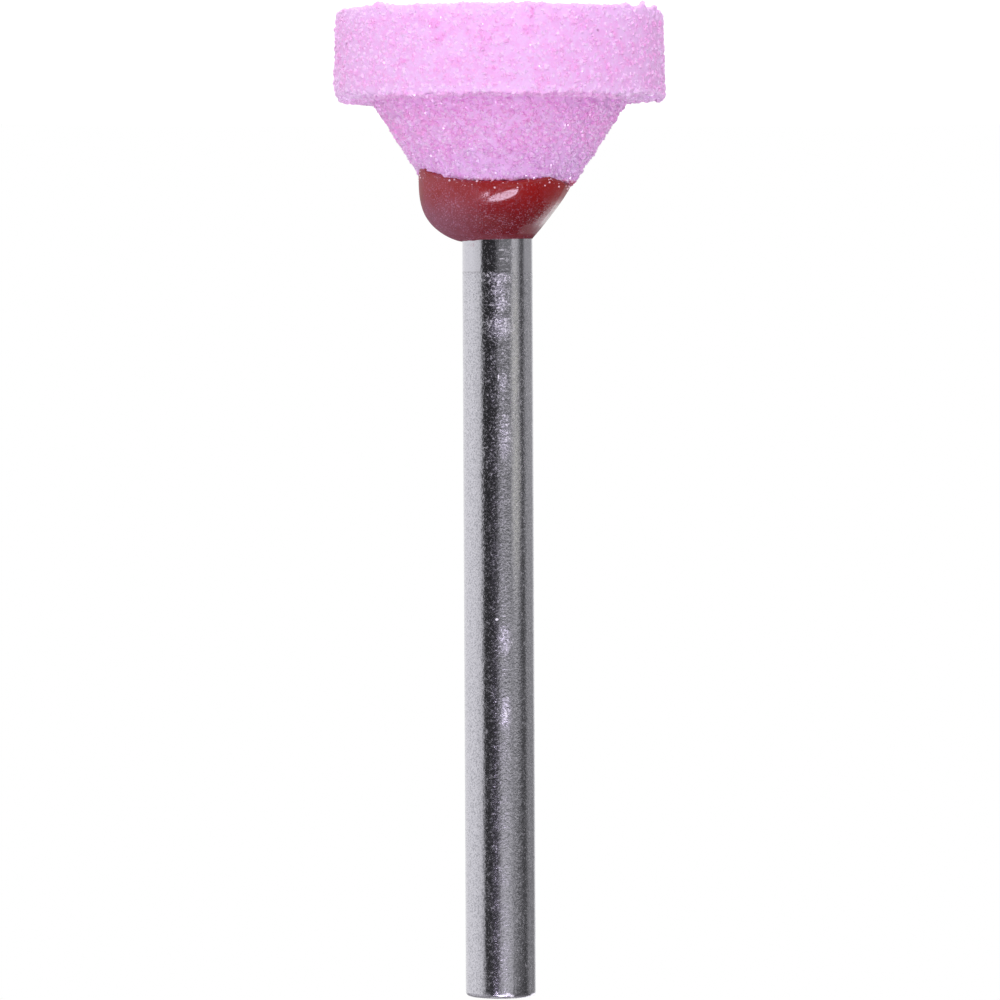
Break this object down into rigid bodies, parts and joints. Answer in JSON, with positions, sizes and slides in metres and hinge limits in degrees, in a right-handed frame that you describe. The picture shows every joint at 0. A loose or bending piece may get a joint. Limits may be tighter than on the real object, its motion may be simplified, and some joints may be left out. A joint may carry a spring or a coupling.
{
  "type": "mounted point",
  "caption": "A pink grinding stone with a wheel-shaped rim and a conical back, cemented on the end of a straight steel shank, for a rotary tool.",
  "frame": {"origin": "centre of the grinding face, which the point stands on", "axes": "+Z runs along the shank, from the stone to the shank's free end; +X points to the side where the cement bead is fattest"},
  "size_m": [0.015, 0.015, 0.0445],
  "materials": {
    "pink_alumina": "matte",
    "red_cement": "gloss",
    "ground_steel": "satin"
  },
  "bodies": {
    "root": {"abrasive_head": "pink_alumina", "cement": "red_cement", "shank": "ground_steel"}
  },
  "joints": []
}
